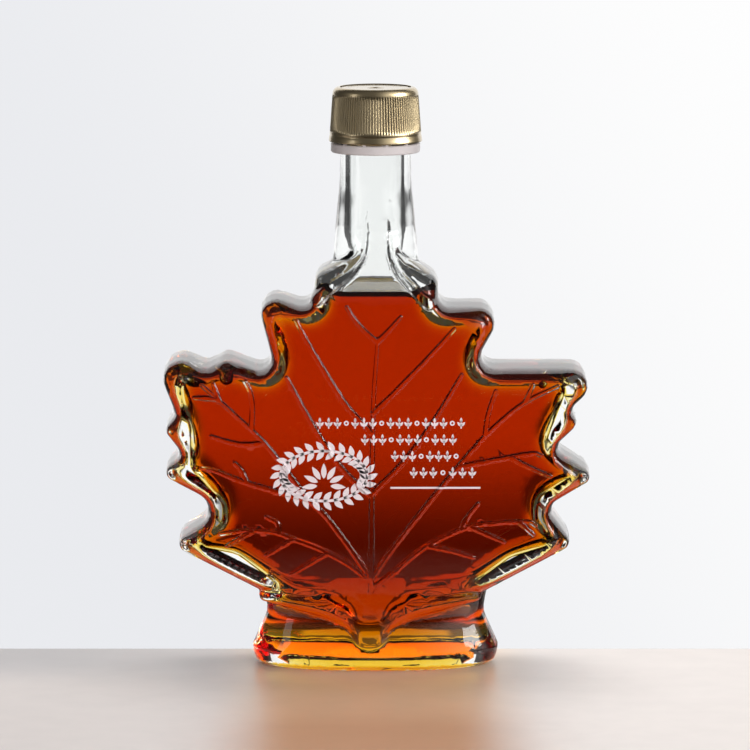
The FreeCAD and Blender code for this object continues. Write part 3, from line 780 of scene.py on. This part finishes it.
for j in range(spokes):
    k = (j + 1) % spokes
    cap_faces.append((0, 1 + j, 1 + k))
    for i in range(rings - 1):
        a, b = 1 + i * spokes + j, 1 + i * spokes + k
        cap_faces.append((a, a + spokes, b + spokes, b))
    cap_faces.append((last_point, 1 + (rings - 1) * spokes + k, 1 + (rings - 1) * spokes + j))

gold, shader, tree = mottled("gold_cap", 120, (0.56, 0.44, 0.25), (0.66, 0.53, 0.32))
shader.inputs["Metallic"].default_value = 1
shader.inputs["Coat Weight"].default_value = 0.7
shader.inputs["Coat Roughness"].default_value = 0.06
grain = tree.nodes.new("ShaderNodeTexNoise")
grain.inputs["Scale"].default_value = 900
grain.inputs["Detail"].default_value = 4
satin = tree.nodes.new("ShaderNodeMapRange")
satin.inputs["To Min"].default_value = 0.24
satin.inputs["To Max"].default_value = 0.36
tree.links.new(grain.outputs["Fac"], satin.inputs["Value"])
tree.links.new(satin.outputs["Result"], shader.inputs["Roughness"])
# painted shade: near-black for the pit and the narrow groove round the sunk top, where shade falls
groove_shade, shader, tree = mottled("cap_groove_painted_shade", 900, (0.03, 0.022, 0.014), (0.07, 0.055, 0.035))
shader.inputs["Roughness"].default_value = 0.8

cap_mesh = bpy.data.meshes.new("screw_cap")
cap_mesh.from_pydata((cap_points * millimetre).tolist(), [], cap_faces)
cap_mesh.polygons.foreach_set("use_smooth", np.ones(len(cap_mesh.polygons), bool))
cap_mesh.materials.append(gold)
cap_mesh.materials.append(groove_shade)
# faces of the pit and the groove round the top take the painted shade
reaches = np.hypot(cap_points[:, 0], cap_points[:, 1])
for polygon in cap_mesh.polygons:
    corners = list(polygon.vertices)
    near, far = reaches[corners].min(), reaches[corners].max()
    in_pit = far < pit_radius + 0.01
    in_rim = near > face_radius - 0.46 and far < face_radius - 0.3
    if cap_points[corners, 2].min() > cap_top - pit_depth - 0.1 and (in_pit or in_rim):
        polygon.material_index = 1
cap = bpy.data.objects.new("screw_cap", cap_mesh)
bpy.context.scene.collection.objects.link(cap)
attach(cap, "root")
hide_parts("cap")

# ---------------------------------------------------------------- tamper band
# The moulded ring of milky plastic that stays on the neck when the cap is first opened. It
# hangs from the cap by small bridges, so its shape is the frame's own and only its finish is
# given here.

milky, shader, tree = mottled("milky_plastic", 260, (0.88, 0.82, 0.83), (0.96, 0.90, 0.90))
shader.inputs["Roughness"].default_value = 0.4
shader.inputs["Transmission Weight"].default_value = 0.25
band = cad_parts["tamper_band"]
band.data.materials.clear()
band.data.materials.append(milky)

# ---------------------------------------------------------------- table
# Satin wooden tabletop whose far edge runs just behind the bottle. Painted shade makes it greyer towards
# the left and towards its far left edge, and pale on the right. The amber light that the syrup throws
# forward and down is painted on it too: a painted amber reflection in front of the bottle and a painted
# glow under the foot.

table_reach = 1.2
table_front = -2.2
table_back = 0.019
table_thickness = 0.03
table_mesh = bpy.data.meshes.new("table")
table_points = [(x, y, z) for z in (-table_thickness, 0) for x, y in (
    (-table_reach, table_front), (table_reach, table_front),
    (table_reach, table_back), (-table_reach, table_back))]
table_faces = [(4, 5, 6, 7), (3, 2, 1, 0), (0, 1, 5, 4), (1, 2, 6, 5), (2, 3, 7, 6), (3, 0, 4, 7)]
table_mesh.from_pydata(table_points, [], table_faces)
table = bpy.data.objects.new("table", table_mesh)
bpy.context.scene.collection.objects.link(table)


def maths(tree, operation, first, second=None):
    """Output of one sum on plain numbers and other nodes' outputs."""
    made = tree.nodes.new("ShaderNodeMath")
    made.operation = operation
    for socket, value in zip(made.inputs, (first, second)):
        if isinstance(value, (int, float)):
            socket.default_value = value
        elif value is not None:
            tree.links.new(value, socket)
    return made.outputs[0]


def ramp(tree, value, low, high, from_value=0.0, to_value=1.0, kind="SMOOTHSTEP"):
    """Output that goes from one value to the other while the input goes from low to high."""
    made = tree.nodes.new("ShaderNodeMapRange")
    made.interpolation_type = kind
    tree.links.new(value, made.inputs["Value"])
    made.inputs["From Min"].default_value = low
    made.inputs["From Max"].default_value = high
    made.inputs["To Min"].default_value = from_value
    made.inputs["To Max"].default_value = to_value
    return made.outputs["Result"]


def place(tree):
    """The spot being shaded, whole and as x, y and z."""
    where = tree.nodes.new("ShaderNodeNewGeometry")
    split = tree.nodes.new("ShaderNodeSeparateXYZ")
    tree.links.new(where.outputs["Position"], split.inputs[0])
    return where.outputs["Position"], *split.outputs


wood = bpy.data.materials.new("pale_table")
wood.use_nodes = True
table_mesh.materials.append(wood)
tree = wood.node_tree
shader = tree.nodes["Principled BSDF"]
shader.inputs["Roughness"].default_value = 0.35
spot, x, y, z = place(tree)
# painted shade: the table's colour greys towards the left and towards its far left edge
shaded_left_tone = colour_between(tree, ramp(tree, y, -0.045, 0.0), (0.66, 0.59, 0.56), (0.47, 0.44, 0.44))
painted_light_tone = colour_between(tree, ramp(tree, x, -0.10, 0.07, kind="LINEAR"), shaded_left_tone, (0.88, 0.80, 0.755))
# painted reflection: the syrup's amber painted into the table's colour in front of the bottle, brightest
# near the foot
sideways = ramp(tree, maths(tree, "ABSOLUTE", x), 0.052, 0.022)
nearness = ramp(tree, y, -0.10, -0.02, kind="LINEAR")
painted_amber_reflection = colour_between(tree, nearness, (0.58, 0.37, 0.23), (1.0, 0.74, 0.50))
painted_light_tone = colour_between(tree, maths(tree, "MULTIPLY", sideways, ramp(tree, y, -0.26, -0.13)), painted_light_tone, painted_amber_reflection)
grain = tree.nodes.new("ShaderNodeTexNoise")
grain.inputs["Scale"].default_value = 220
grain.inputs["Detail"].default_value = 5
shade = tree.nodes.new("ShaderNodeVectorMath")
shade.operation = "SCALE"
tree.links.new(painted_light_tone, shade.inputs[0])
tree.links.new(ramp(tree, grain.outputs["Fac"], 0, 1, 0.93, 1.05, "LINEAR"), shade.inputs["Scale"])
tree.links.new(shade.outputs[0], shader.inputs["Base Color"])
# painted glow: an amber emission under the foot stands in for the light that the syrup gathers onto the
# table
glow_half_width, glow_half_depth = 0.034, 0.0165
across = tree.nodes.new("ShaderNodeVectorMath")
across.operation = "MULTIPLY"
tree.links.new(spot, across.inputs[0])
across.inputs[1].default_value = (1 / glow_half_width, 1 / glow_half_depth, 0.0)
out = tree.nodes.new("ShaderNodeVectorMath")
out.operation = "LENGTH"
tree.links.new(across.outputs[0], out.inputs[0])
under_foot = ramp(tree, out.outputs["Value"], 1.05, 0.95, kind="LINEAR")
painted_caustic_glow = maths(tree, "MULTIPLY", under_foot, ramp(tree, y, 0.0135, 0.0115, kind="LINEAR"))
tree.links.new(painted_caustic_glow, shader.inputs["Emission Strength"])
shader.inputs["Emission Color"].default_value = (0.40, 0.14, 0.0, 1)
# painted shade: in mirror images the near part of the table is painted nearly black, as if the room in
# front were dark
path = tree.nodes.new("ShaderNodeLightPath")
ahead = ramp(tree, y, -0.14, -0.24, kind="LINEAR")
painted_mirror_shade = tree.nodes.new("ShaderNodeBsdfDiffuse")
painted_mirror_shade.inputs["Color"].default_value = (0.01, 0.01, 0.01, 1)
mix = tree.nodes.new("ShaderNodeMixShader")
tree.links.new(maths(tree, "MULTIPLY", ahead, path.outputs["Is Glossy Ray"]), mix.inputs["Fac"])
tree.links.new(shader.outputs[0], mix.inputs[1])
tree.links.new(painted_mirror_shade.outputs[0], mix.inputs[2])
tree.links.new(mix.outputs[0], tree.nodes["Material Output"].inputs["Surface"])

# ---------------------------------------------------------------- light
# A soft studio: a wide lit panel behind, which fades towards its lower edge, small soft boxes
# at the sides, above and in front, and a dim room that brightens towards the right front.

world = bpy.data.worlds.new("studio")
bpy.context.scene.world = world
world.use_nodes = True
tree = world.node_tree
tree.nodes.clear()
way = tree.nodes.new("ShaderNodeTexCoord")
split = tree.nodes.new("ShaderNodeSeparateXYZ")
tree.links.new(way.outputs["Generated"], split.inputs[0])
x, y, z = split.outputs
room = maths(tree, "MULTIPLY", ramp(tree, y, 0.3, -0.1), ramp(tree, x, 0.05, 0.95, 0.05, 1.5))
room = maths(tree, "MULTIPLY", room, ramp(tree, z, -0.05, 0.15))
room = maths(tree, "ADD", room, 0.06)
grey = tree.nodes.new("ShaderNodeCombineColor")
for socket in grey.inputs:
    tree.links.new(room, socket)
light = tree.nodes.new("ShaderNodeBackground")
tree.links.new(grey.outputs[0], light.inputs["Color"])
# the pale sweep that shows behind the bottle is a little greyer at the left and low down
pale = tree.nodes.new("ShaderNodeBackground")
slant = maths(tree, "ADD", x, maths(tree, "MULTIPLY", z, 0.5))
sweep = colour_between(tree, ramp(tree, slant, -0.13, 0.04), (0.82, 0.83, 0.86), (0.99, 0.99, 0.99))
tree.links.new(sweep, pale.inputs["Color"])
path = tree.nodes.new("ShaderNodeLightPath")
pick = tree.nodes.new("ShaderNodeMixShader")
tree.links.new(path.outputs["Is Camera Ray"], pick.inputs["Fac"])
tree.links.new(light.outputs[0], pick.inputs[1])
tree.links.new(pale.outputs[0], pick.inputs[2])
output = tree.nodes.new("ShaderNodeOutputWorld")
tree.links.new(pick.outputs[0], output.inputs["Surface"])


def softbox(name, spot, aim, width, height, power):
    """Flat lamp that faces a point and isn't seen itself."""
    lamp = bpy.data.lights.new(name, "AREA")
    lamp.shape = "RECTANGLE"
    lamp.size = width
    lamp.size_y = height
    lamp.energy = power
    made = bpy.data.objects.new(name, lamp)
    made.location = spot
    made.rotation_euler = (Vector(aim) - Vector(spot)).to_track_quat("-Z", "Y").to_euler()
    made.visible_camera = False
    bpy.context.scene.collection.objects.link(made)
    return made


panel_width = 1.15
panel_low = -0.24
panel_high = 0.80
panel_x = 0.09
panel_y = 0.70
panel_middle = (panel_low + panel_high) / 2
panel_height = panel_high - panel_low
# at this power the panel's face has a strength of 1
panel_power = math.pi * panel_width * panel_height
back_panel = softbox("back_panel", (panel_x, panel_y, panel_middle), (panel_x, 0, panel_middle),
                     panel_width, panel_height, panel_power)
back_panel.data.use_nodes = True
tree = back_panel.data.node_tree
spot, x, y, z = place(tree)
low_band = maths(tree, "MULTIPLY", ramp(tree, z, -0.125, -0.14), ramp(tree, z, -0.225, -0.205))
low_band = maths(tree, "MULTIPLY", low_band, ramp(tree, maths(tree, "ABSOLUTE", x), 0.20, 0.14))
low_band = maths(tree, "MULTIPLY", low_band, 0.7)
fade = maths(tree, "ADD", ramp(tree, z, -0.086, -0.028, 0.14, 1.0), low_band)
tree.links.new(fade, tree.nodes["Emission"].inputs["Strength"])

bottle_middle = (0, 0, 0.08)
right_box = softbox("right_box", (0.8, -0.25, 0.46), bottle_middle, 0.45, 0.4, 5.0)
right_box.visible_diffuse = False
softbox("left_box", (-0.8, -0.45, 0.35), bottle_middle, 0.2, 0.6, 0.5)
top_box = softbox("top_box", (0.1, 0.42, 1.2), bottle_middle, 0.8, 0.5, 9.0)
top_box.visible_glossy = False
front_box = softbox("front_box", (0.4, -1.1, 0.55), bottle_middle, 0.8, 0.6, 6.0)
front_box.visible_glossy = False
front_box.visible_transmission = False

# ---------------------------------------------------------------- camera
# A long lens about 1.6 m in front of the bottle, a little above it and tilted down, so that
# the top edges of the leaf and the lid of the cap just show.

lens = bpy.data.cameras.new("camera")
lens.sensor_width = 36.0
lens.lens = 263.328
camera = bpy.data.objects.new("camera", lens)
camera.location = (0, -1.645, 0.320)
camera.rotation_euler = (math.radians(90 - 8.03), 0, math.radians(0.005))
bpy.context.scene.collection.objects.link(camera)
bpy.context.scene.camera = camera
bpy.context.scene.view_settings.view_transform = "Standard"
